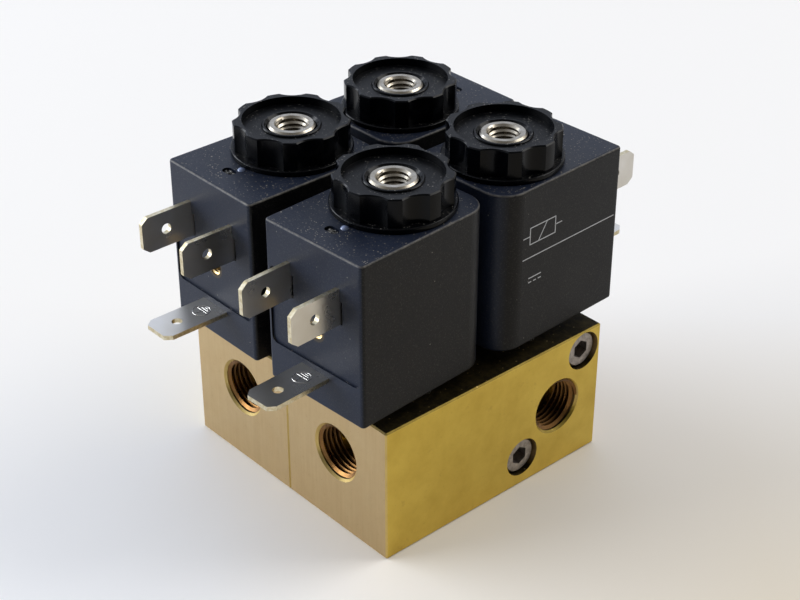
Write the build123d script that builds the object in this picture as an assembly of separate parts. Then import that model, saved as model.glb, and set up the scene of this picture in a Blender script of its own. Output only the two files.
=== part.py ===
from build123d import *
import math
import os

os.makedirs("parts", exist_ok=True)

# A valve island: four direct-acting 3/2-way solenoid valves on two brass blocks that are screwed
# together side by side. Millimetres. X runs across the blocks, -Y is the front, +Z is up, and the
# origin is the middle of the underside, on the seam between the blocks.

# ------------------------------------------------------------------ driving dimensions: brass blocks
block_height = 25.0
block_edge = 0.25  # broken edge all round
axis_inset = 12.7  # valve axis to the nearer end face
coil_side_gap = 1.75  # each coil stays this far inside its half of the block's width
coil_rear_gap = 1.05  # and this far from the middle of the block's length

# ------------------------------------------------------------------ ports, G 1/8 and their drillings
port_radius = 4.86  # major radius of the thread
port_wall = 0.7  # left between the port's end and the valve cavity
port_chamfer = 0.4
front_port_height = 14.7
side_port_height = 12.4
side_port_offset = 2.7  # towards the block's end, so that its drilling passes the valve seat
pilot_radius = 2.5  # drilling from a work port into the valve chamber
pilot_wall = 1.2  # left between the pilot's end and the seat or the gallery
gallery_radius = 1.75  # supply gallery along the block, under both seats
gallery_wall = 1.75  # left between the gallery and the chamber above it
link_radius = 1.5  # joins the two galleries through the seam
link_offset = 1.6  # behind the back valves' axes

# ------------------------------------------------------------------ valve seat and cavity
cavity_radius = 6.0  # M12 x 1
cavity_depth = 7.0
chamber_radius = 4.9
chamber_depth = 4.5
seat_height = 3.1
seat_foot_radius = 2.6
seat_lip_radius = 1.4
orifice_radius = 0.8
ring_recess_radius = 7.2
ring_recess_depth = 1.2

# ------------------------------------------------------------------ cap screws, M4 x 30
screw_radius = 1.95
screw_length = 30.0
screw_head_radius = 3.35
screw_head_height = 4.0
screw_socket_flats = 3.0
screw_socket_depth = 2.2
screw_head_edge = 0.35
screw_hole_clearance = 0.2
screw_tap_clearance = 0.05
screw_tap_spare = 1.8
counterbore_radius = 3.55
counterbore_depth = 4.7
low_screw_offset = 5.45  # in front of the back valves' axes
low_screw_height = 5.5
high_screw_drop = 3.85  # below the top of the block
screw_wall = 0.4  # left between the high screw's hole and the valve cavity

# ------------------------------------------------------------------ guide tube and fixed core
tube_radius = 4.5
tube_wall = 0.5
foot_flats = 15.0  # hexagon foot
foot_height = 2.2
foot_thread_clearance = 0.05
foot_bottom_gap = 0.3
foot_wall = 1.15
shoulder_drop = 1.0  # shoulder for the spring inside the foot, below the top of the block
pole_rise = 14.6  # lower face of the fixed core, above the foot
tube_length = 26.3  # above the foot
core_clearance = 0.03
core_collar_height = 0.8
stud_radius = 3.9  # M8 x 0.75
stud_edge = 0.3
exhaust_radius = 2.5  # M5
exhaust_depth = 6.0
exhaust_countersink = 0.35
vent_radius = 0.9
upper_seat_radius = 1.6
upper_seat_height = 0.3

# ------------------------------------------------------------------ plunger, its seal and its spring
plunger_radius = 3.92
plunger_foot_radius = 4.6
plunger_foot_height = 1.0
plunger_stroke = 0.8
seal_radius = 2.3
seal_depth = 1.8
seal_stem_radius = 0.8
seal_stand_out = 0.4  # rubber below the plunger's foot
seal_crown = 0.1  # rubber above the plunger's top
groove_count = 4
groove_width = 1.2
groove_depth = 0.7
spring_wire = 0.4  # flat wire, radial width
spring_wire_height = 0.3
spring_turns = 4.0

# ------------------------------------------------------------------ coil
coil_width = 21.5
coil_front = 17.2  # valve axis to the terminal face
coil_height = 29.0
coil_bore_clearance = 0.08
coil_rear_corner = 4.5
coil_front_corner = 0.7
coil_edge = 0.45
panel_width = 14.1  # shallow recess that the blades come out of
panel_height = 19.9
panel_bottom = 4.2
panel_sink = 0.35
panel_corner = 1.2
yoke_plate = 2.0
yoke_cover = 1.5  # plastic under the lower plate and over the upper one
yoke_overhang = 0.3  # plates beyond the winding, at the sides and the front
yoke_web_inset = 2.0  # web narrower than the plates, each side
yoke_web = 1.5
yoke_web_cover = 1.25  # plastic behind the web
winding_wall = 1.0  # plastic between bore and winding
winding_gap = 0.3  # between winding and web
bobbin_flange = 1.5
gate_length = 2.7  # shallow moulding gate recess on the top
gate_width = 1.7
gate_depth = 0.5
gate_place = (-0.55, -12.45)
pip_radius = 0.72  # moulding pip beside it
pip_sink = 0.35
pip_place = (0.45, -10.8)

# ------------------------------------------------------------------ blades and insert
blade_width = 6.3
blade_thickness = 0.8
blade_root = 4.0  # length held in the plastic
blade_tip_length = 1.2
blade_tip_depth = 0.95
blade_hole_radius = 0.9
line_blade_spacing = 11.0
line_blade_height = 20.2  # middle of the blade above the coil's underside
line_blade_reach = 9.6  # beyond the terminal face
line_blade_hole = 4.6  # from the tip
blade_slot_margin = 0.2
blade_slot_depth = 0.4
earth_blade_height = 5.7
earth_blade_reach = 11.9
earth_blade_hole = 4.2
insert_radius = 2.0
insert_thread_radius = 1.5  # M3
insert_length = 5.0
insert_thread_depth = 4.0
insert_height = 13.3

# ------------------------------------------------------------------ hand nut
nut_lobes = 9
nut_lobe_radius = 9.6
nut_scallop_radius = 4.1
nut_scallop_depth = 0.9
nut_flange_radius = 10.1
nut_flange_height = 0.95
nut_height = 5.7
nut_edge = 0.2
nut_recess_radius = 8.1
nut_recess_depth = 1.3
nut_hub_radius = 4.9  # low ring round the bore, on the recess floor
nut_hub_height = 0.3
nut_hub_edge = 0.15
nut_bore_clearance = 0.08
nut_bore_chamfer = 0.5
core_end_below_rim = 1.0

# ------------------------------------------------------------------ seal rings
ring_clearance = 0.03
link_ring_recess = 4.0
link_ring_recess_depth = 1.2

# ------------------------------------------------------------------ worked out from those
coil_rear = coil_width / 2
valve_x = coil_width / 2 + coil_side_gap
valve_y = coil_rear + coil_rear_gap
block_width = 2 * valve_x
block_length = 2 * (valve_y + axis_inset)
port_depth = axis_inset - cavity_radius - port_wall
cavity_floor = block_height - cavity_depth
chamber_floor = cavity_floor - chamber_depth
seat_top = chamber_floor + seat_height
supply_port_height = chamber_floor - gallery_wall - gallery_radius
link_y = valve_y + link_offset
screw_hole_radius = screw_radius + screw_hole_clearance
screw_places = (
    (valve_y - low_screw_offset, low_screw_height),
    (valve_y + cavity_radius + screw_wall + screw_hole_radius, block_height - high_screw_drop),
)
coil_bottom = block_height + foot_height
coil_top = coil_bottom + coil_height
coil_bore = tube_radius + coil_bore_clearance
web_back = coil_rear - yoke_web_cover
web_front = web_back - yoke_web
winding_radius = web_front - winding_gap
yoke_half_width = winding_radius + yoke_overhang
spring_space_top = block_height - shoulder_drop
pole_height = coil_bottom + pole_rise
tube_top = coil_bottom + tube_length
core_top = coil_top + nut_height - core_end_below_rim
tube_bore = tube_radius - tube_wall
foot_thread_radius = cavity_radius - foot_thread_clearance
foot_bore = foot_thread_radius - foot_wall
plunger_bottom = seat_top + seal_stand_out
plunger_foot_top = plunger_bottom + plunger_foot_height
plunger_top = pole_height - upper_seat_height - plunger_stroke - seal_crown
panel_face = coil_front - panel_sink

# Each valve: name, side (-1 left, 1 right), end (-1 front, 1 back), and how far its coil and its
# nut are turned from square, in degrees.
valves = (
    ("front_left", -1, -1, 0.0, 0.0),
    ("front_right", 1, -1, 3.2, 0.0),
    ("back_left", -1, 1, 0.0, 0.0),
    ("back_right", 1, 1, 2.2, 6.5),
)


def turned(*profile):
    """Solid of revolution about Z from (radius, height) corners."""
    return revolve(make_face(Plane.XZ * Polyline(*profile, close=True)), Axis.Z)


def disc(radius, bottom, top):
    """Upright cylinder about Z between two heights."""
    return Pos(0, 0, bottom) * Cylinder(radius, top - bottom, align=(Align.CENTER, Align.CENTER, Align.MIN))


def drilling(mouth, inward, radius, depth):
    """Straight round hole, as the solid to cut away."""
    return extrude(Plane(origin=mouth, z_dir=inward) * Circle(radius), depth)


def threaded_port(mouth, inward):
    """Port thread with its entry chamfer, as the solid to cut away."""
    entry = Pos(0, 0, port_chamfer / 2) * Cone(port_radius + port_chamfer, port_radius, port_chamfer)
    return drilling(mouth, inward, port_radius, port_depth) + Plane(origin=mouth, z_dir=inward) * entry


def cuboid(x_range, y_range, z_range):
    """Box between two corners."""
    size = [high - low for low, high in (x_range, y_range, z_range)]
    corner = [low for low, high in (x_range, y_range, z_range)]
    return Pos(*corner) * Box(*size, align=(Align.MIN, Align.MIN, Align.MIN))


# ================================================================== brass blocks
def valve_cavity():
    """Thread, seal recess, chamber with its seat left standing, and the seat's orifice."""
    seat = turned(
        (0, chamber_floor), (seat_foot_radius, chamber_floor), (seat_lip_radius, seat_top), (0, seat_top)
    )
    hollow = disc(chamber_radius, chamber_floor, cavity_floor) - seat
    hollow += disc(cavity_radius, cavity_floor, block_height)
    hollow += disc(ring_recess_radius, block_height - ring_recess_depth, block_height)
    return hollow + disc(orifice_radius, supply_port_height, seat_top)


def block(side):
    """One block with its ports, galleries, seats and screw holes."""
    inner, outer = (0, block_width) if side > 0 else (-block_width, 0)
    half_length = block_length / 2
    body = cuboid((inner, outer), (-half_length, half_length), (0, block_height))
    body = chamfer(body.edges(), block_edge)

    axis_x = side * valve_x
    for end in (-1, 1):
        body -= Pos(axis_x, end * valve_y, 0) * valve_cavity()

    # Front work port: its drilling runs straight into the front chamber and stops short of the seat.
    body -= threaded_port((axis_x, -half_length, front_port_height), (0, 1, 0))
    front_reach = axis_inset - seat_foot_radius - pilot_wall
    body -= drilling((axis_x, -half_length, front_port_height), (0, 1, 0), pilot_radius, front_reach)

    # Side work port: offset from the valve's axis, so that its drilling enters beside the seat.
    side_y = valve_y + side_port_offset
    side_mouth = (side * block_width, side_y, side_port_height)
    body -= threaded_port(side_mouth, (-side, 0, 0))
    side_reach = block_width - valve_x - gallery_radius - pilot_wall
    body -= drilling(side_mouth, (-side, 0, 0), pilot_radius, side_reach)

    # Supply port at the back, with the gallery on its axis under both seats, and the link across.
    supply_mouth = (axis_x, half_length, supply_port_height)
    body -= threaded_port(supply_mouth, (0, -1, 0))
    gallery_reach = half_length + valve_y + gallery_radius
    body -= drilling(supply_mouth, (0, -1, 0), gallery_radius, gallery_reach)
    body -= drilling((0, link_y, supply_port_height), (side, 0, 0), link_radius, valve_x)

    for screw_y, screw_z in screw_places:
        seam = (0, screw_y, screw_z)
        if side > 0:
            body -= drilling(seam, (1, 0, 0), screw_hole_radius, block_width)
            mouth = (block_width, screw_y, screw_z)
            body -= drilling(mouth, (-1, 0, 0), counterbore_radius, counterbore_depth)
        else:
            tap_depth = screw_length - (block_width - counterbore_depth) + screw_tap_spare
            body -= drilling(seam, (-1, 0, 0), screw_radius + screw_tap_clearance, tap_depth)
    if side > 0:
        seam = (0, link_y, supply_port_height)
        body -= drilling(seam, (1, 0, 0), link_ring_recess, link_ring_recess_depth)
    return body


def cap_screw():
    """Socket cap screw along Z: head above zero, shank below."""
    head = turned(
        (0, 0),
        (screw_head_radius, 0),
        (screw_head_radius, screw_head_height - screw_head_edge),
        (screw_head_radius - screw_head_edge, screw_head_height),
        (0, screw_head_height),
    )
    corner_radius = screw_socket_flats / math.sqrt(3)
    socket_floor = Plane.XY.offset(screw_head_height - screw_socket_depth)
    head -= extrude(socket_floor * RegularPolygon(corner_radius, 6), screw_socket_depth)
    shank = turned(
        (0, -screw_length),
        (screw_radius - screw_head_edge, -screw_length),
        (screw_radius, screw_head_edge - screw_length),
        (screw_radius, 0),
        (0, 0),
    )
    return head + shank


def cap_screws():
    """Both screws in their counterbores, as a group of separate solids."""
    seat_x = block_width - counterbore_depth
    return [Pos(seat_x, y, z) * Rot(0, 90, 0) * cap_screw() for y, z in screw_places]


def seal_ring(recess_radius, recess_depth):
    """Rubber ring lying in a round recess whose floor is at zero, a hair clear all round."""
    section = recess_depth / 2 - ring_clearance
    middle = recess_radius - section - ring_clearance
    return Pos(0, 0, recess_depth / 2) * Torus(middle, section)


def seam_seal():
    """Ring round the link between the galleries, in the right block's seam face."""
    across = Plane(origin=(0, link_y, supply_port_height), z_dir=(1, 0, 0))
    return across * seal_ring(link_ring_recess, link_ring_recess_depth)


# ================================================================== guide tube, core, plunger
def guide_tube():
    """Tube with a hexagon foot and the thread that screws into the block."""
    thread_bottom = cavity_floor + foot_bottom_gap
    foot_corner_radius = foot_flats / math.sqrt(3)
    foot = extrude(Plane.XY.offset(block_height) * RegularPolygon(foot_corner_radius, 6), foot_height)
    body = foot + disc(foot_thread_radius, thread_bottom, block_height) + disc(tube_radius, coil_bottom, tube_top)
    body -= disc(foot_bore, thread_bottom, spring_space_top)
    return body - disc(tube_bore, spring_space_top, tube_top)


def base_seal():
    """Ring under the hexagon foot."""
    return Pos(0, 0, block_height - ring_recess_depth) * seal_ring(ring_recess_radius, ring_recess_depth)


def fixed_core():
    """Pole piece with the exhaust seat below, the collar on the tube and the threaded end on top."""
    core_radius = tube_bore - core_clearance
    collar_top = tube_top + core_collar_height
    body = turned(
        (0, pole_height - upper_seat_height),
        (upper_seat_radius, pole_height - upper_seat_height),
        (upper_seat_radius, pole_height),
        (core_radius, pole_height),
        (core_radius, tube_top),
        (tube_radius, tube_top),
        (tube_radius, collar_top),
        (stud_radius, collar_top),
        (stud_radius, core_top - stud_edge),
        (stud_radius - stud_edge, core_top),
        (0, core_top),
    )
    body -= disc(vent_radius, pole_height - upper_seat_height, core_top)
    body -= disc(exhaust_radius, core_top - exhaust_depth, core_top)
    mouth_radius = exhaust_radius + exhaust_countersink
    entry = Cone(exhaust_radius, mouth_radius, exhaust_countersink)
    return body - Pos(0, 0, core_top - exhaust_countersink / 2) * entry


def plunger():
    """Steel plunger with a foot for the spring, air grooves and pockets for its seal."""
    body = disc(plunger_radius, plunger_bottom, plunger_top)
    body += disc(plunger_foot_radius, plunger_bottom, plunger_foot_top)
    body -= disc(seal_stem_radius, plunger_bottom, plunger_top)
    body -= disc(seal_radius, plunger_bottom, plunger_bottom + seal_depth)
    body -= disc(seal_radius, plunger_top - seal_depth, plunger_top)
    groove = cuboid(
        (plunger_radius - groove_depth, plunger_foot_radius + groove_depth),
        (-groove_width / 2, groove_width / 2),
        (plunger_bottom, plunger_top),
    )
    for step in range(groove_count):
        body -= Rot(0, 0, step * 360 / groove_count) * groove
    return body


def plunger_seal():
    """Rubber moulded through the plunger: a disc at each end on one stem."""
    body = disc(seal_stem_radius, plunger_bottom, plunger_top)
    body += disc(seal_radius, seat_top, plunger_bottom + seal_depth)
    return body + disc(seal_radius, plunger_top - seal_depth, plunger_top + seal_crown)


def return_spring():
    """Flat-wire spring between the plunger's foot and the shoulder inside the tube's foot."""
    bottom = plunger_foot_top + spring_wire_height / 2
    height = spring_space_top - spring_wire_height / 2 - bottom
    middle_radius = (plunger_radius + foot_bore) / 2
    path = Pos(0, 0, bottom) * Helix(height / spring_turns, height, middle_radius)
    wire = Plane(origin=path @ 0, x_dir=(1, 0, 0), z_dir=(0, 1, 0)) * Rectangle(spring_wire, spring_wire_height)
    return sweep(wire, path=path, is_frenet=True)


# ================================================================== coil
# Coil pieces are drawn with the valve's axis at the origin, the terminals towards -Y and the
# coil's underside at zero height.
def yoke():
    """Steel frame: a plate at each end of the winding, joined by a web behind it."""
    top_plate_bottom = coil_height - yoke_cover - yoke_plate
    body = cuboid(
        (-yoke_half_width, yoke_half_width), (-yoke_half_width, web_back), (yoke_cover, yoke_cover + yoke_plate)
    )
    body += Pos(0, 0, top_plate_bottom - yoke_cover) * body
    web_half_width = yoke_half_width - yoke_web_inset
    web_reach = (yoke_cover + yoke_plate, top_plate_bottom)
    body += cuboid((-web_half_width, web_half_width), (web_front, web_back), web_reach)
    return body - disc(coil_bore, 0, coil_height)


def winding():
    """Copper winding as one solid ring."""
    bottom = yoke_cover + yoke_plate + bobbin_flange
    top = coil_height - bottom
    return disc(winding_radius, bottom, top) - disc(coil_bore + winding_wall, bottom, top)


def blade(reach, hole_from_tip):
    """Flat blade lying in XY, tip towards -Y, its middle plane at zero height."""
    tip = -(coil_front + reach)
    root = -(coil_front - blade_root)
    half = blade_width / 2
    shoulder = tip + blade_tip_length
    outline = Polyline(
        (-half, root),
        (-half, shoulder),
        (-half + blade_tip_depth, tip),
        (half - blade_tip_depth, tip),
        (half, shoulder),
        (half, root),
        close=True,
    )
    sheet = extrude(make_face(outline), blade_thickness / 2, both=True)
    return sheet - Pos(0, tip + hole_from_tip, 0) * Cylinder(blade_hole_radius, blade_thickness)


def line_blade(side):
    """Upright blade on one side of the panel."""
    place = Pos(side * line_blade_spacing / 2, 0, line_blade_height)
    return place * Rot(0, 90, 0) * blade(line_blade_reach, line_blade_hole)


def earth_blade():
    """Flat blade at the foot of the panel."""
    return Pos(0, 0, earth_blade_height) * blade(earth_blade_reach, earth_blade_hole)


def terminal_insert():
    """Threaded bush for the plug's fixing screw."""
    face = Plane(origin=(0, -panel_face, insert_height), z_dir=(0, 1, 0))
    bush = extrude(face * Circle(insert_radius), insert_length)
    return bush - extrude(face * Circle(insert_thread_radius), insert_thread_depth)


def coil_body(held):
    """Moulded body: square at the terminal end, round-cornered behind, cut for what it holds."""
    depth = coil_front + coil_rear
    outline = Pos(0, coil_rear - depth / 2) * Rectangle(coil_width, depth)
    by_y = outline.vertices().group_by(Axis.Y)
    outline = fillet(by_y[-1], coil_rear_corner)
    outline = fillet(outline.vertices().group_by(Axis.Y)[0], coil_front_corner)
    body = extrude(outline, coil_height)
    ends = body.faces().group_by(Axis.Z)
    body = fillet((ends[0] + ends[-1]).edges(), coil_edge)

    panel_plane = Plane(origin=(0, -coil_front, panel_bottom + panel_height / 2), z_dir=(0, 1, 0))
    body -= extrude(panel_plane * RectangleRounded(panel_width, panel_height, panel_corner), panel_sink)

    slot_x = blade_thickness / 2 + blade_slot_margin
    slot_z = blade_width / 2 + blade_slot_margin
    for side in (-1, 1):
        middle = side * line_blade_spacing / 2
        body -= cuboid(
            (middle - slot_x, middle + slot_x),
            (-panel_face, -panel_face + blade_slot_depth),
            (line_blade_height - slot_z, line_blade_height + slot_z),
        )

    gate = Plane(origin=(*gate_place, coil_height), z_dir=(0, 0, -1)) * SlotOverall(gate_length, gate_width)
    body -= extrude(gate, gate_depth)
    body += Pos(*pip_place, coil_height - pip_sink) * Sphere(pip_radius)
    body -= disc(coil_bore, 0, coil_height)
    for piece in held:
        body -= piece
    return body


# ================================================================== hand nut
def knurled_nut():
    """Hand nut on its flange, drawn with its underside at zero height."""
    scallop = Pos(nut_lobe_radius - nut_scallop_depth + nut_scallop_radius, 0) * Circle(nut_scallop_radius)
    outline = Circle(nut_lobe_radius)
    for step in range(nut_lobes):
        outline -= Rot(0, 0, (step + 0.5) * 360 / nut_lobes) * scallop
    body = extrude(outline, nut_height)
    body = chamfer(body.faces().sort_by(Axis.Z)[-1].edges(), nut_edge)
    body += fillet(disc(nut_flange_radius, 0, nut_flange_height).edges(), nut_edge)
    floor = nut_height - nut_recess_depth
    body -= disc(nut_recess_radius, floor, nut_height)
    hub_top = floor + nut_hub_height
    body += turned(
        (0, floor),
        (nut_hub_radius, floor),
        (nut_hub_radius, hub_top - nut_hub_edge),
        (nut_hub_radius - nut_hub_edge, hub_top),
        (0, hub_top),
    )
    bore = stud_radius + nut_bore_clearance
    body -= disc(bore, 0, nut_height)
    entry = Cone(bore, bore + nut_bore_chamfer, nut_bore_chamfer)
    return body - Pos(0, 0, hub_top - nut_bore_chamfer / 2) * entry


# ================================================================== everything in its place
def export(name, solid):
    """Write one node's file."""
    export_step(solid, f"parts/{name}.step")


export("block_left", block(-1))
export("block_right", block(1))
export("cap_screws", Compound(children=cap_screws()))
export("seam_seal", seam_seal())

coil_parts = {
    "coil_winding": winding(),
    "coil_yoke": yoke(),
    "line_blade_left": line_blade(-1),
    "line_blade_right": line_blade(1),
    "earth_blade": earth_blade(),
    "terminal_insert": terminal_insert(),
}
insert_hole = Plane(origin=(0, -panel_face, insert_height), z_dir=(0, 1, 0)) * Circle(insert_radius)
held_solids = [part for name, part in coil_parts.items() if name != "terminal_insert"]
coil_parts["coil_body"] = coil_body(held_solids + [extrude(insert_hole, insert_length)])

tube_parts = {
    "guide_tube": guide_tube(),
    "base_seal": base_seal(),
    "fixed_core": fixed_core(),
    "plunger": plunger(),
    "plunger_seal": plunger_seal(),
    "return_spring": return_spring(),
}
nut = knurled_nut()

for valve_name, side, end, coil_turn, nut_turn in valves:
    axis = Pos(side * valve_x, end * valve_y, 0)
    facing = 0 if end < 0 else 180
    for part_name, part in tube_parts.items():
        export(f"{part_name}_{valve_name}", axis * part)
    for part_name, part in coil_parts.items():
        export(f"{part_name}_{valve_name}", axis * Pos(0, 0, coil_bottom) * Rot(0, 0, facing + coil_turn) * part)
    export(f"knurled_nut_{valve_name}", axis * Pos(0, 0, coil_top) * Rot(0, 0, nut_turn) * nut)
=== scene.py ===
import math
import random

import bmesh
import bpy
from mathutils import Matrix, Vector


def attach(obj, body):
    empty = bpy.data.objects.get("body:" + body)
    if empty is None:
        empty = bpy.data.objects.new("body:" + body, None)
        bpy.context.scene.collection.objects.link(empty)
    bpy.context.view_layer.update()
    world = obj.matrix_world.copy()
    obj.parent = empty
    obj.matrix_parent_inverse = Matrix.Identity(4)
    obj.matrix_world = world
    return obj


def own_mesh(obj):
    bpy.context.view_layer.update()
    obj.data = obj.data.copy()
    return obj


# A small pneumatic valve island: four solenoid valves on two brass blocks. Metres, +Z up, the front
# at -Y, the origin in the middle of the blocks' underside.
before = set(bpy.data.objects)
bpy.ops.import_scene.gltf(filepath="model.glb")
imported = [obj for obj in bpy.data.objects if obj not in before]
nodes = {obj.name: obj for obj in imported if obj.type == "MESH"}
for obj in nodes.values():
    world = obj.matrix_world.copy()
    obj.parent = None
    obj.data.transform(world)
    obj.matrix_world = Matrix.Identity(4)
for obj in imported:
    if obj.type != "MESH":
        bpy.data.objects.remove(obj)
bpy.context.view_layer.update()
MM = 0.001

# Sizes below are in millimetres. Each valve: its name, its side, its end, and its coil's turn in degrees.
BACK_RIGHT_TURN = 2.2
VALVES = (
    ("front_left", -1, -1, 0.0),
    ("front_right", 1, -1, 3.2),
    ("back_left", -1, 1, 0.0),
    ("back_right", 1, 1, BACK_RIGHT_TURN),
)
AXIS_X = 12.5
AXIS_Y = 11.8
COIL_BOTTOM = 27.2
WORN_BLADE_EDGE = 0.1
WORN_PLASTIC_EDGE = 0.14

# Threads: radius at the root in the wall, radius at the crest, pitch and length.
PORT_THREAD = (4.86, 4.28, 0.907, 5.6)
EXHAUST_THREAD = (2.5, 2.2, 0.8, 5.5)
PLUG_THREAD = (1.5, 1.25, 0.5, 3.7)

# Places on a coil, drawn with its terminals towards -Y and its underside at zero.
PLUG_MOUTH = (0, -16.82, 13.3)
EARTH_SIGN_PLACE = (0, -20.0, 6.085)
PIP_CENTRE = (0.45, -10.8, 28.67)
PIP_RADIUS = 0.735
PRINTED_SIDE = 10.755
PRINT_STROKE = 0.18
PRINT_THICKNESS = 0.01
EARTH_SIGN_BEAD = 0.06

# Directions on the floor: towards the camera, and to its right.
FLOOR_FRONT = (0.7475, -0.6643, 0)
FLOOR_RIGHT = (0.6643, 0.7475, 0)


# ---------------------------------------------------------------- material building blocks
class Shader:
    """A node material with short calls for the nodes that the finishes here share."""

    def __init__(self, name, **sockets):
        self.material = bpy.data.materials.new(name)
        self.material.use_nodes = True
        self.tree = self.material.node_tree
        self.bsdf = self.tree.nodes["Principled BSDF"]
        for socket, value in sockets.items():
            self.bsdf.inputs[socket.replace("_", " ")].default_value = value
        self.coordinates = self.tree.nodes.new("ShaderNodeTexCoord").outputs["Object"]

    def add(self, kind, *links, **settings):
        node = self.tree.nodes.new(kind)
        for key, value in settings.items():
            setattr(node, key, value)
        for socket, source in links:
            if isinstance(source, bpy.types.NodeSocket):
                self.tree.links.new(source, node.inputs[socket])
            else:
                node.inputs[socket].default_value = source
        return node

    def place(self, stretch=(1, 1, 1), shift=(0, 0, 0)):
        return self.add(
            "ShaderNodeMapping", ("Vector", self.coordinates), ("Scale", stretch), ("Location", shift)
        ).outputs["Vector"]

    def noise(self, scale, detail=3.0, roughness=0.55, stretch=(1, 1, 1), shift=(0, 0, 0)):
        return self.add(
            "ShaderNodeTexNoise",
            ("Vector", self.place(stretch, shift)),
            ("Scale", scale),
            ("Detail", detail),
            ("Roughness", roughness),
        ).outputs["Fac"]

    def specks(self, scale, size, share, shift=(0, 0, 0)):
        """Small round specks, one in some of the cells, as a mask."""
        cells = self.add("ShaderNodeTexVoronoi", ("Vector", self.place(shift=shift)), ("Scale", scale))
        near = self.ramp(cells.outputs["Distance"], (size * 0.55, 1.0), (size, 0.0))
        chosen = self.add("ShaderNodeSeparateColor", (0, cells.outputs["Color"])).outputs[0]
        return self.math("MULTIPLY", near, self.ramp(chosen, (share, 1.0), (share + 0.01, 0.0)))

    def dust(self):
        """Dust grains of two sizes, as a mask."""
        return self.math("MAXIMUM", self.specks(1300, 0.2, 0.3), self.specks(2300, 0.27, 0.5))

    def ramp(self, source, low, high):
        """From the low pair (position, value) to the high pair, flat outside."""
        node = self.add(
            "ShaderNodeMapRange",
            ("Value", source),
            ("From Min", low[0]),
            ("From Max", high[0]),
            ("To Min", low[1]),
            ("To Max", high[1]),
        )
        node.clamp = True
        return node.outputs["Result"]

    def math(self, operation, first, second=0.0):
        return self.add("ShaderNodeMath", (0, first), (1, second), operation=operation).outputs[0]

    def mix(self, factor, first, second):
        """Colour mix by a factor."""
        node = self.add("ShaderNodeMix", data_type="RGBA")
        for socket, source in zip(("Factor_Float", "A_Color", "B_Color"), (factor, first, second)):
            target = next(i for i in node.inputs if i.identifier == socket)
            if isinstance(source, bpy.types.NodeSocket):
                self.tree.links.new(source, target)
            else:
                target.default_value = (*source, 1.0) if isinstance(source, tuple) else source
        return next(o for o in node.outputs if o.identifier == "Result_Color")

    def facing(self, axis):
        """How far the surface faces along one axis of the object, from -1 to 1."""
        normal = self.add("ShaderNodeNewGeometry").outputs["Normal"]
        return self.add("ShaderNodeSeparateXYZ", (0, normal)).outputs[axis]

    def along(self, direction):
        """How far the point lies along a direction, in metres."""
        dot = self.add(
            "ShaderNodeVectorMath", (0, self.coordinates), (1, direction), operation="DOT_PRODUCT"
        )
        return dot.outputs["Value"]

    def bump(self, height, distance, strength=1.0, below=None):
        links = [("Height", height), ("Distance", distance), ("Strength", strength)]
        if below is not None:
            links.append(("Normal", below))
        return self.add("ShaderNodeBump", *links).outputs["Normal"]

    def to(self, socket, source):
        self.tree.links.new(source, self.bsdf.inputs[socket])


def grey(value):
    return (value, value, value)


def brass_block():
    """Machined brass: drawn sides warm and slightly mottled, sawn and milled ends paler and streaked, tops
    painted dark as shade under the coils.
    """
    s = Shader("block_brass", Metallic=1.0, Roughness=0.36)
    end = s.ramp(s.math("ABSOLUTE", s.facing("Y")), (0.6, 0.0), (0.8, 1.0))
    blotch = s.noise(160, 4.0, 0.6)
    fine = s.noise(2600, 2.0, 0.6)
    side_colour = s.mix(s.ramp(blotch, (0.35, 0.0), (0.7, 1.0)), (0.67, 0.490, 0.094), (0.57, 0.400, 0.070))
    stain = s.noise(420, 3.0, 0.7, shift=(0.3, 0, 0))
    side_colour = s.mix(s.ramp(stain, (0.62, 0.0), (0.75, 0.5)), side_colour, (0.44, 0.275, 0.058))
    streak = s.noise(1900, 3.0, 0.6, stretch=(1, 1, 0.05))
    streak = s.math("ADD", s.math("MULTIPLY", streak, 0.55), s.math("MULTIPLY", blotch, 0.45))
    end_colour = s.mix(s.ramp(streak, (0.3, 0.0), (0.7, 1.0)), (0.50, 0.375, 0.205), (0.44, 0.32, 0.165))
    colour = s.mix(end, side_colour, end_colour)
    colour = s.mix(s.ramp(fine, (0.66, 0.0), (0.74, 0.35)), colour, (0.28, 0.18, 0.06))
    # Painted shade: the top faces, under the coils, are darkened nearly to black-brown with noise, with pale
    # specks on them.
    top = s.ramp(s.facing("Z"), (0.4, 0.0), (0.8, 1.0))
    shaded_top_and_specks = s.ramp(s.noise(700, 4.0, 0.7), (0.4, 0.0), (0.7, 1.0))
    shaded_top_and_specks = s.mix(shaded_top_and_specks, (0.030, 0.024, 0.012), (0.085, 0.062, 0.022))
    shaded_top_and_specks = s.mix(s.specks(1100, 0.2, 0.35), shaded_top_and_specks, (0.30, 0.22, 0.10))
    s.to("Base Color", s.mix(top, colour, shaded_top_and_specks))
    rough = s.math("ADD", s.ramp(blotch, (0.3, 0.30), (0.7, 0.40)), s.math("MULTIPLY", end, 0.14))
    s.to("Roughness", s.math("ADD", rough, s.math("MULTIPLY", top, 0.15)))
    ground = s.noise(900, 3.0, 0.6, stretch=(1, 0.06, 1))
    relief = s.mix(end, ground, streak)
    s.to("Normal", s.bump(relief, 0.00002, 0.5, s.bump(fine, 0.00001, 0.5)))
    return s.material


def turned_brass():
    """Threads cut in brass: smoother than the outside, and coloured darker as painted shade deep in their
    holes.
    """
    s = Shader("thread_brass_painted_shade", Metallic=1.0, Roughness=0.32)
    tone = s.noise(900, 3.0, 0.6)
    # Painted shade: the dark brown tones stand in for the shade inside the ports.
    s.to("Base Color", s.mix(tone, (0.26, 0.135, 0.045), (0.16, 0.08, 0.028)))
    s.to("Roughness", s.ramp(tone, (0.3, 0.26), (0.7, 0.42)))
    return s.material


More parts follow.
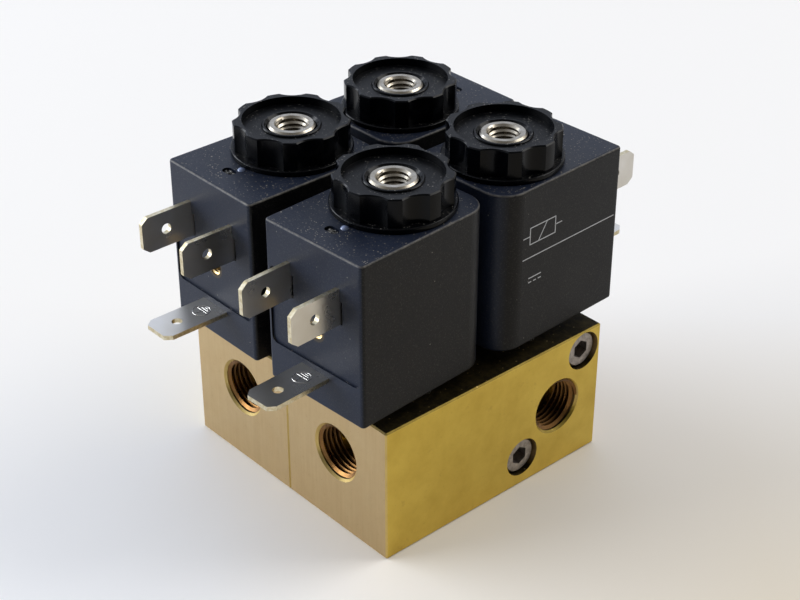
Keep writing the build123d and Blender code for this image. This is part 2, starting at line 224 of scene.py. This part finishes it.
def coil_plastic():
    """Blue-black moulding with a fine spark-eroded grain, paler worn specks, and dust on its top; its
    X-facing sides painted darker as shade, its other faces bluer partly as painted sheen, and its rounded top
    edges paler partly as painted highlight.
    """
    s = Shader("coil_plastic", Roughness=0.42, Specular_IOR_Level=0.2)
    grain = s.noise(5200, 3.0, 0.65)
    broad = s.noise(140, 3.0, 0.6)
    top = s.ramp(s.facing("Z"), (0.75, 0.0), (0.9, 1.0))
    patches = s.ramp(s.noise(420, 3.0, 0.6), (0.40, 0.15), (0.60, 1.0))
    dust = s.math("MULTIPLY", s.math("MAXIMUM", s.dust(), s.specks(620, 0.12, 0.15)), patches)
    grain_light = s.ramp(s.noise(3800, 2.0, 0.7, shift=(0.2, 0, 0)), (0.54, 0.0), (0.72, 0.10))
    # Rounded top edges paler and tan: partly wear, partly a painted highlight of light caught on the edge.
    leaning = s.ramp(s.facing("Z"), (0.2, 0.0), (0.5, 1.0))
    worn_edge_and_highlight = s.math("MULTIPLY", leaning, s.ramp(s.facing("Z"), (0.8, 1.0), (0.95, 0.0)))
    worn_edge_and_highlight = s.math("MULTIPLY", worn_edge_and_highlight, s.ramp(s.noise(900, 3.0, 0.7), (0.35, 0.1), (0.65, 0.45)))
    marks = s.math("MAXIMUM", s.math("MULTIPLY", dust, top), s.math("MAXIMUM", grain_light, worn_edge_and_highlight))
    marks = s.math("MAXIMUM", marks, s.math("MULTIPLY", s.specks(900, 0.12, 0.05), 0.6))
    broad = s.ramp(broad, (0.3, 0.0), (0.7, 1.0))
    # The X-facing sides get a darker, greyer colour and the other faces a bluer one: partly a finer grain on
    # the sides, partly painted shade on the sides and a painted bluish sheen on the fronts and tops; the blue
    # is partly the moulding's own.
    flank = s.ramp(s.math("ABSOLUTE", s.facing("X")), (0.6, 0.0), (0.85, 1.0))
    smooth = s.mix(broad, (0.0075, 0.0115, 0.0240), (0.0100, 0.0150, 0.0300))
    grained_shaded_colour = s.mix(broad, (0.0012, 0.0013, 0.0019), (0.0032, 0.0033, 0.0044))
    s.to("Base Color", s.mix(marks, s.mix(flank, smooth, grained_shaded_colour), (0.25, 0.23, 0.195)))
    s.to("Roughness", s.ramp(broad, (0.0, 0.38), (1.0, 0.47)))
    s.to("Normal", s.bump(grain, 0.00003, 0.55))
    return s.material


def nut_plastic():
    """Black moulding of the hand nuts: satin flanks and a duller, dusty recess floor."""
    s = Shader("nut_plastic", Roughness=0.3, Specular_IOR_Level=0.12)
    grain = s.noise(4200, 3.0, 0.65)
    broad = s.noise(260, 3.0, 0.6)
    floor = s.ramp(s.facing("Z"), (0.8, 0.0), (0.95, 1.0))
    dust = s.math("MULTIPLY", s.dust(), s.ramp(s.noise(500, 3.0, 0.6), (0.42, 0.1), (0.62, 1.0)))
    dust = s.math("MULTIPLY", dust, floor)
    colour = s.mix(broad, (0.0006, 0.0008, 0.0013), (0.0014, 0.0017, 0.0025))
    s.to("Base Color", s.mix(dust, colour, (0.22, 0.21, 0.19)))
    s.to("Roughness", s.math("ADD", s.ramp(broad, (0.3, 0.15), (0.7, 0.21)), s.math("MULTIPLY", floor, 0.2)))
    s.to("Normal", s.bump(grain, 0.00004, s.ramp(floor, (0.0, 0.15), (1.0, 0.6))))
    return s.material


def tinned_blade(name, flat):
    """Tinned brass strip, its flats facing one axis: soft tarnish, and brass at the sheared edges."""
    s = Shader(name, Metallic=1.0, Roughness=0.28)
    lines = s.noise(2400, 2.0, 0.6, stretch=(0.9, 0.04, 0.9))
    tarnish = s.noise(170, 2.0, 0.5)
    colour = s.mix(s.ramp(tarnish, (0.35, 0.0), (0.7, 1.0)), (0.66, 0.64, 0.60), (0.58, 0.55, 0.49))
    colour = s.mix(s.math("MULTIPLY", s.specks(1700, 0.1, 0.06), 0.6), colour, (0.40, 0.35, 0.27))
    sheared = s.ramp(s.math("ABSOLUTE", s.facing(flat)), (0.80, 1.0), (0.97, 0.0))
    bare = s.ramp(s.noise(1500, 3.0, 0.6), (0.4, 0.0), (0.6, 1.0))
    bare = s.mix(bare, (0.66, 0.60, 0.44), (0.52, 0.44, 0.27))
    s.to("Base Color", s.mix(sheared, colour, bare))
    s.to("Roughness", s.ramp(tarnish, (0.35, 0.27), (0.7, 0.32)))
    s.to("Normal", s.bump(lines, 0.000002, 0.25))
    return s.material


def plain_metal(name, light, dark, low, high, scale=900, stretch=(1, 1, 1), relief=0.000008):
    """Turned, drawn or plated metal with a soft change of tone and fine tool marks."""
    s = Shader(name, Metallic=1.0, Roughness=low)
    tone = s.noise(scale, 3.0, 0.6, stretch=stretch)
    s.to("Base Color", s.mix(s.ramp(tone, (0.35, 0.0), (0.65, 1.0)), light, dark))
    s.to("Roughness", s.ramp(tone, (0.3, low), (0.7, high)))
    s.to("Normal", s.bump(s.noise(scale * 3, 2.0, 0.5, stretch=stretch), relief, 0.4))
    return s.material


def insert_metal():
    """Threaded brass bush: its end face painted nearly black as the shade of the recess it sits in, its bore
    still yellow.
    """
    s = Shader("insert_metal", Metallic=1.0, Roughness=0.4)
    tone = s.noise(1500, 3.0, 0.6)
    bore = s.mix(tone, (0.62, 0.47, 0.24), (0.46, 0.33, 0.15))
    # Painted shade on the end face.
    face = s.ramp(s.math("ABSOLUTE", s.facing("Y")), (0.85, 0.0), (0.97, 1.0))
    s.to("Base Color", s.mix(face, bore, s.mix(tone, (0.055, 0.048, 0.040), (0.095, 0.080, 0.060))))
    s.to("Roughness", s.ramp(tone, (0.3, 0.32), (0.7, 0.48)))
    return s.material


def core_metal():
    """Turned free-cutting steel, plated pale: bright on its end face, and painted darker as shade inside and
    round its side.
    """
    s = Shader("core_metal", Metallic=1.0, Roughness=0.26)
    tone = s.ramp(s.noise(900, 3.0, 0.6), (0.35, 0.0), (0.65, 1.0))
    end = s.mix(tone, (0.40, 0.37, 0.32), (0.29, 0.26, 0.205))
    # Painted shade: the faces that don't look up, inside and round the side, get the dark wall colour.
    wall = s.mix(tone, (0.20, 0.17, 0.13), (0.12, 0.10, 0.072))
    s.to("Base Color", s.mix(s.ramp(s.facing("Z"), (0.2, 0.0), (0.6, 1.0)), wall, end))
    s.to("Roughness", s.ramp(tone, (0.0, 0.22), (1.0, 0.34)))
    s.to("Normal", s.bump(s.noise(2700, 2.0, 0.5), 0.000008, 0.4))
    return s.material


def dull(name, light, dark, rough, scale=900, relief=0.00003):
    """Rubber, enamel or mark: no metal, a fine uneven tone."""
    s = Shader(name, Roughness=rough)
    tone = s.noise(scale, 3.0, 0.6)
    s.to("Base Color", s.mix(tone, light, dark))
    s.to("Normal", s.bump(tone, relief, 0.5))
    return s.material


def gate_plastic():
    """Torn plastic: black, with pale marks, partly stress marks and partly painted glints."""
    s = Shader("gate_stub", Roughness=0.5)
    torn_and_glints = s.ramp(s.noise(2200, 3.0, 0.7), (0.50, 0.0), (0.58, 1.0))
    s.to("Base Color", s.mix(torn_and_glints, (0.0015, 0.0015, 0.0018), (0.42, 0.41, 0.38)))
    s.to("Normal", s.bump(torn_and_glints, 0.00005, 0.6))
    return s.material


MATERIALS = {
    "block": brass_block(),
    "thread": turned_brass(),
    "coil_body": coil_plastic(),
    "knurled_nut": nut_plastic(),
    "line_blade": tinned_blade("line_blade_metal", "X"),
    "earth_blade": tinned_blade("earth_blade_metal", "Z"),
    "terminal_insert": insert_metal(),
    "cap_screws": plain_metal("screw_steel", (0.42, 0.38, 0.35), (0.26, 0.235, 0.215), 0.34, 0.5, 1300),
    "guide_tube": plain_metal("tube_steel", grey(0.60), grey(0.50), 0.25, 0.35),
    "fixed_core": core_metal(),
    "plunger": plain_metal("plunger_steel", grey(0.60), grey(0.52), 0.25, 0.35),
    "return_spring": plain_metal("spring_steel", grey(0.55), grey(0.45), 0.25, 0.35),
    "coil_yoke": plain_metal("yoke_steel", grey(0.50), grey(0.42), 0.35, 0.45),
    "coil_winding": plain_metal(
        "winding_copper", (0.60, 0.28, 0.13), (0.50, 0.22, 0.10), 0.3, 0.4, 3000, (0.1, 0.1, 1)
    ),
    "seal": dull("seal_rubber", grey(0.016), grey(0.026), 0.6),
    "mark": plain_metal("stamped_mark", (0.80, 0.78, 0.74), (0.68, 0.66, 0.62), 0.16, 0.22),
    # The pip's pale blue colour is a painted sheen of the sky on its glossy dome.
    "pip": dull("moulded_pip_painted_sheen", (0.17, 0.215, 0.34), (0.22, 0.265, 0.40), 0.2, 600, 0.000004),
    "print": dull("pad_print", (0.50, 0.51, 0.53), (0.40, 0.41, 0.43), 0.55, 1400),
    "stub": gate_plastic(),
}


def paint(obj, material):
    obj.data.materials.clear()
    obj.data.materials.append(MATERIALS[material])


for name, node in nodes.items():
    if "seal" in name:
        key = "seal"
    elif name.startswith("block"):
        key = "block"
    else:
        key = next(k for k in MATERIALS if name.startswith(k))
    paint(node, key)
    if "blade" in name or "nut" in name or name.startswith("coil_body"):
        worn = node.modifiers.new("worn_edges", "BEVEL")
        worn.width = (WORN_BLADE_EDGE if "blade" in name else WORN_PLASTIC_EDGE) * MM
        worn.segments = 2
        worn.limit_method = "ANGLE"
        worn.angle_limit = math.radians(40)


# ---------------------------------------------------------------- pieces that stand on the solids
def add_piece(name, mesh, body, material):
    """A new piece with its finish, riding on one body."""
    obj = bpy.data.objects.new(name, mesh)
    bpy.context.scene.collection.objects.link(obj)
    paint(obj, material)
    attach(obj, body)
    return obj


def mesh_from(name, points, faces, smooth=True):
    mesh = bpy.data.meshes.new(name)
    mesh.from_pydata([Vector(p) * MM for p in points], [], faces)
    mesh.validate()
    for polygon in mesh.polygons:
        polygon.use_smooth = smooth
    return mesh


def axes_from(outward):
    """Matrix whose Z runs along a direction."""
    return Vector(outward).to_track_quat("Z", "Y").to_matrix()


def thread_ridge(name, mouth, outward, thread, body, material):
    """The thread's ridge standing inwards from the plain wall of its hole, run out at both ends."""
    major, minor, pitch, length = thread
    steps_a_turn = 56
    count = int((length / pitch - 0.6) * steps_a_turn)
    turn = axes_from(outward)
    points = []
    for step in range(count + 1):
        angle = 2 * math.pi * step / steps_a_turn
        depth = -pitch * (0.1 + step / steps_a_turn)
        fade = min(1.0, 0.35 + 3.0 * step / steps_a_turn, 6.0 * (count - step) / steps_a_turn)
        crest = major - (major - minor) * fade
        for radius, along in (
            (major + 0.03, 0.47),
            (crest, 0.07),
            (crest, -0.07),
            (major + 0.03, -0.47),
        ):
            local = Vector((radius * math.cos(angle), radius * math.sin(angle), depth + along * pitch))
            points.append(Vector(mouth) + turn @ local)
    faces = [(0, 1, 2, 3), tuple(count * 4 + k for k in (3, 2, 1, 0))]
    for step in range(count):
        for k in range(4):
            a, b = step * 4 + k, step * 4 + (k + 1) % 4
            faces.append((a, b, b + 4, a + 4))
    mesh = mesh_from(name, points, faces, smooth=False)
    return add_piece(name, mesh, body, material)


def coil_matrix(side, end, yaw):
    """Places a point of a coil, drawn with its terminals towards -Y and its underside at zero."""
    facing = math.radians(yaw + (0 if end < 0 else 180))
    return Matrix.Translation((side * AXIS_X, end * AXIS_Y, COIL_BOTTOM)) @ Matrix.Rotation(facing, 4, "Z")


for side, word in ((-1, "left"), (1, "right")):
    x = side * AXIS_X
    for port, mouth, outward in (
        ("front", (x, -24.1, 14.7), (0, -1, 0)),
        ("supply", (x, 24.1, 10.0), (0, 1, 0)),
        ("side", (side * 24.6, 14.5, 12.4), (side, 0, 0)),
    ):
        thread_ridge(f"thread_{port}_{word}", mouth, outward, PORT_THREAD, "base", "thread")


def dome(name, centre, radius, body, material):
    """The upper half of a ball."""
    ball = bmesh.new()
    bmesh.ops.create_uvsphere(ball, u_segments=28, v_segments=18, radius=radius * MM)
    bmesh.ops.bisect_plane(
        ball,
        geom=ball.verts[:] + ball.edges[:] + ball.faces[:],
        plane_co=(0, 0, 0),
        plane_no=(0, 0, -1),
        clear_outer=True,
    )
    for face in ball.faces:
        face.smooth = True
    bmesh.ops.translate(ball, verts=ball.verts[:], vec=Vector(centre) * MM)
    mesh = bpy.data.meshes.new(name)
    ball.to_mesh(mesh)
    ball.free()
    return add_piece(name, mesh, body, material)


def pip(name, place, body):
    """The coil's small moulded pip, smoother than the grain round it."""
    return dome(name, place @ Vector(PIP_CENTRE), PIP_RADIUS, body, "pip")


def gate_stub(name, place, body):
    """The torn-off gate in its recess: a few ragged lumps."""
    lumps = bmesh.new()
    rng = random.Random(name)
    for step in range(26):
        across, along, height = rng.uniform(-1.5, 0.35), rng.uniform(-13.05, -11.95), rng.uniform(28.5, 28.72)
        spot = place @ Vector((across, along, height))
        size = rng.uniform(0.1, 0.24)
        made = bmesh.ops.create_icosphere(lumps, subdivisions=1, radius=size * MM)["verts"]
        for vert in made:
            vert.co *= rng.uniform(0.7, 1.35)
            vert.co += spot * MM
    mesh = bpy.data.meshes.new(name)
    lumps.to_mesh(mesh)
    lumps.free()
    return add_piece(name, mesh, body, "stub")


def bar(x0, y0, x1, y1, width):
    """Points and faces of a flat stroke between two points."""
    along = Vector((x1 - x0, y1 - y0)).normalized()
    across = Vector((-along.y, along.x)) * width / 2
    start, stop = Vector((x0, y0)), Vector((x1, y1))
    corners = [start + across, start - across, stop - across, stop + across]
    return [tuple(c) for c in corners], [(0, 1, 2, 3)]


def flat_mark(name, shapes, place, thickness, body, material):
    """A thin flat mark made of shapes in one plane, with a little thickness along its normal."""
    points, faces = [], []
    for shape_points, shape_faces in shapes:
        base = len(points)
        points += [(*p, 0.0) for p in shape_points]
        faces += [tuple(base + k for k in face) for face in shape_faces]
    mesh = mesh_from(name, [place @ Vector(p) for p in points], faces, smooth=False)
    obj = add_piece(name, mesh, body, material)
    solid = obj.modifiers.new("thickness", "SOLIDIFY")
    solid.thickness = thickness * MM
    solid.offset = 0
    return obj


def bead(name, strokes, radius, place, body, material):
    """Raised beads along strokes, each a list of points in the mark's own plane."""
    curve = bpy.data.curves.new(name, "CURVE")
    curve.dimensions = "3D"
    curve.bevel_depth = radius * MM
    curve.bevel_resolution = 3
    curve.use_fill_caps = True
    for stroke in strokes:
        spline = curve.splines.new("POLY")
        spline.points.add(len(stroke) - 1)
        for point, target in zip(spline.points, stroke):
            point.co = (*((place @ Vector((*target, 0.0))) * MM), 1.0)
    return add_piece(name, curve, body, material)


def round_stroke(radius, steps=36):
    return [
        (radius * math.cos(2 * math.pi * k / steps), radius * math.sin(2 * math.pi * k / steps))
        for k in range(steps + 1)
    ]


# The general earth sign, with its stem towards the blade's tip.
EARTH_SIGN = [
    round_stroke(1.5),
    [(0, -1.45), (0, 0.15)],
    [(-1.25, 0.15), (1.25, 0.15)],
    [(-0.85, 0.66), (0.85, 0.66)],
    [(-0.4, 1.08), (0.4, 1.08)],
]

for name, side, end, yaw in VALVES:
    # The spring gets a mesh of its own.
    spring = f"return_spring_{name}"
    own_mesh(nodes[spring])

    place = coil_matrix(side, end, yaw)
    coil = f"coil_{name}_body"
    exhaust = (side * AXIS_X, end * AXIS_Y, 60.5)
    thread_ridge(
        f"thread_exhaust_{name}", exhaust, (0, 0, 1), EXHAUST_THREAD, "base", "fixed_core"
    )
    plug = place @ Vector(PLUG_MOUTH)
    outward = place.to_3x3() @ Vector((0, -1, 0))
    thread_ridge(
        f"thread_plug_{name}", plug, outward, PLUG_THREAD, coil, "terminal_insert"
    )
    sign_place = place @ Matrix.Translation(EARTH_SIGN_PLACE)
    bead(f"earth_sign_{name}", EARTH_SIGN, EARTH_SIGN_BEAD, sign_place, coil, "mark")
    pip(f"pip_{name}", place, coil)
    gate_stub(f"gate_stub_{name}", place, coil)

# The print on the back right coil's outer side: a rule, the general symbol of a coil above it and the
# general sign for direct current below. Seen from outside, u runs to the right and v up.
PRINT = (
    (-6.2, 16.5, 16.2, 16.5),
    (-4.6, 18.9, 1.4, 18.9),
    (-4.6, 21.9, 1.4, 21.9),
    (-4.6, 18.82, -4.6, 21.98),
    (1.4, 18.82, 1.4, 21.98),
    (-2.6, 18.9, -0.6, 21.9),
    (1.4, 20.4, 3.0, 20.4),
    (-6.2, 20.4, -4.6, 20.4),
    (-4.6, 12.6, -1.6, 12.6),
    (-4.6, 11.8, -3.9, 11.8),
    (-3.45, 11.8, -2.75, 11.8),
    (-2.3, 11.8, -1.6, 11.8),
)
on_side = Matrix(((0, 0, -1, -PRINTED_SIDE), (-1, 0, 0, 0), (0, 1, 0, 0), (0, 0, 0, 1)))
flat_mark(
    "coil_sign",
    [bar(*stroke, PRINT_STROKE) for stroke in PRINT],
    coil_matrix(1, 1, BACK_RIGHT_TURN) @ on_side,
    PRINT_THICKNESS,
    "coil_back_right_body",
    "print",
)


# ---------------------------------------------------------------- floor, light and camera
def floor_material():
    """Pale paper, with light painted into its colour: paler and cooler to the front left, and a warmer,
    darker tone to the front right as painted light bounced off the brass and painted shade.
    """
    s = Shader("floor", Roughness=0.6, Specular_IOR_Level=0.2)
    towards_front = s.along(FLOOR_FRONT)
    towards_right = s.along(FLOOR_RIGHT)
    distance = s.add("ShaderNodeVectorMath", (0, s.coordinates), operation="LENGTH").outputs["Value"]
    near = s.ramp(towards_front, (-0.04, 0.0), (0.06, 1.0))
    near = s.math("MULTIPLY", near, s.ramp(distance, (0.10, 1.0), (0.28, 0.0)))
    right = s.ramp(towards_right, (-0.03, 0.0), (0.06, 1.0))
    # Painted light: the front left is made paler, and the front right warm and darker as bounced light off
    # the brass and painted shade.
    painted_light_tint = s.mix(right, (0.93, 0.925, 0.92), (0.80, 0.71, 0.56))
    s.to("Base Color", s.mix(near, (0.85, 0.83, 0.80), painted_light_tint))
    return s.material


bpy.ops.mesh.primitive_plane_add(size=6.0, location=(0, 0, 0))
floor = bpy.context.object
floor.name = "floor"
floor.data.materials.append(floor_material())

world = bpy.data.worlds.new("studio")
bpy.context.scene.world = world
world.use_nodes = True
tree = world.node_tree
direction = tree.nodes.new("ShaderNodeTexCoord").outputs["Generated"]


def world_lobe(axis, low, high):
    """How near a direction lies to an axis, from 0 to 1."""
    dot = tree.nodes.new("ShaderNodeVectorMath")
    dot.operation = "DOT_PRODUCT"
    tree.links.new(direction, dot.inputs[0])
    dot.inputs[1].default_value = Vector(axis).normalized()
    span = tree.nodes.new("ShaderNodeMapRange")
    span.inputs["From Min"].default_value = low
    span.inputs["From Max"].default_value = high
    tree.links.new(dot.outputs["Value"], span.inputs["Value"])
    return span.outputs["Result"]


def world_mix(factor, first, second):
    node = tree.nodes.new("ShaderNodeMix")
    node.data_type = "RGBA"
    for key, source in (("Factor_Float", factor), ("A_Color", first), ("B_Color", second)):
        target = next(i for i in node.inputs if i.identifier == key)
        if isinstance(source, bpy.types.NodeSocket):
            tree.links.new(source, target)
        else:
            target.default_value = (*source, 1.0)
    return next(o for o in node.outputs if o.identifier == "Result_Color")


sky = world_mix(world_lobe((-1.0, 0.1, 0.5), 0.3, 0.98), (0.64, 0.63, 0.62), (0.95, 1.04, 1.24))
sky = world_mix(world_lobe((0.75, -0.66, 0.1), 0.1, 0.75), sky, (0.03, 0.03, 0.03))
tree.links.new(sky, tree.nodes["Background"].inputs["Color"])
tree.nodes["Background"].inputs["Strength"].default_value = 1.0


def area_light(name, place, target, size, power, colour):
    """A rectangular lamp aimed at a point, which the camera doesn't see itself."""
    data = bpy.data.lights.new(name, "AREA")
    data.shape = "RECTANGLE"
    data.size, data.size_y = size
    data.energy = power
    data.color = colour
    lamp = bpy.data.objects.new(name, data)
    lamp.location = place
    lamp.rotation_mode = "QUATERNION"
    lamp.rotation_quaternion = (Vector(target) - Vector(place)).to_track_quat("-Z", "Y")
    lamp.visible_camera = False
    bpy.context.scene.collection.objects.link(lamp)
    return lamp


area_light("window", (0.35, 0.75, 0.75), (0, 0, 0.03), (0.7, 0.5), 5.0, (1.0, 0.985, 0.96))
area_light("side_window", (-0.9, -0.75, 0.35), (0, 0, 0.02), (1.3, 0.7), 18.5, (0.92, 0.955, 1.0))

# The camera stands where the photographer's did.
azimuth = math.radians(48.37)
elevation = math.radians(31.51)
back = Vector(
    (math.sin(azimuth) * math.cos(elevation), -math.cos(azimuth) * math.cos(elevation), math.sin(elevation))
)
right = Vector((math.cos(azimuth), math.sin(azimuth), 0))
up = back.cross(right)
corner = Vector((-25.0, -24.5, 0))
camera_data = bpy.data.cameras.new("camera")
camera_data.lens = 78.56
camera_data.sensor_width = 36
camera_data.clip_start = 0.01
camera_data.clip_end = 20
camera = bpy.data.objects.new("camera", camera_data)
camera.location = (corner + right * 35.403 + up * 22.731 + back * 315.84) * MM
camera.rotation_mode = "QUATERNION"
camera.rotation_quaternion = Matrix((right, up, back)).transposed().to_quaternion()
bpy.context.scene.collection.objects.link(camera)
bpy.context.scene.camera = camera

scene = bpy.context.scene
scene.view_settings.view_transform = "Standard"
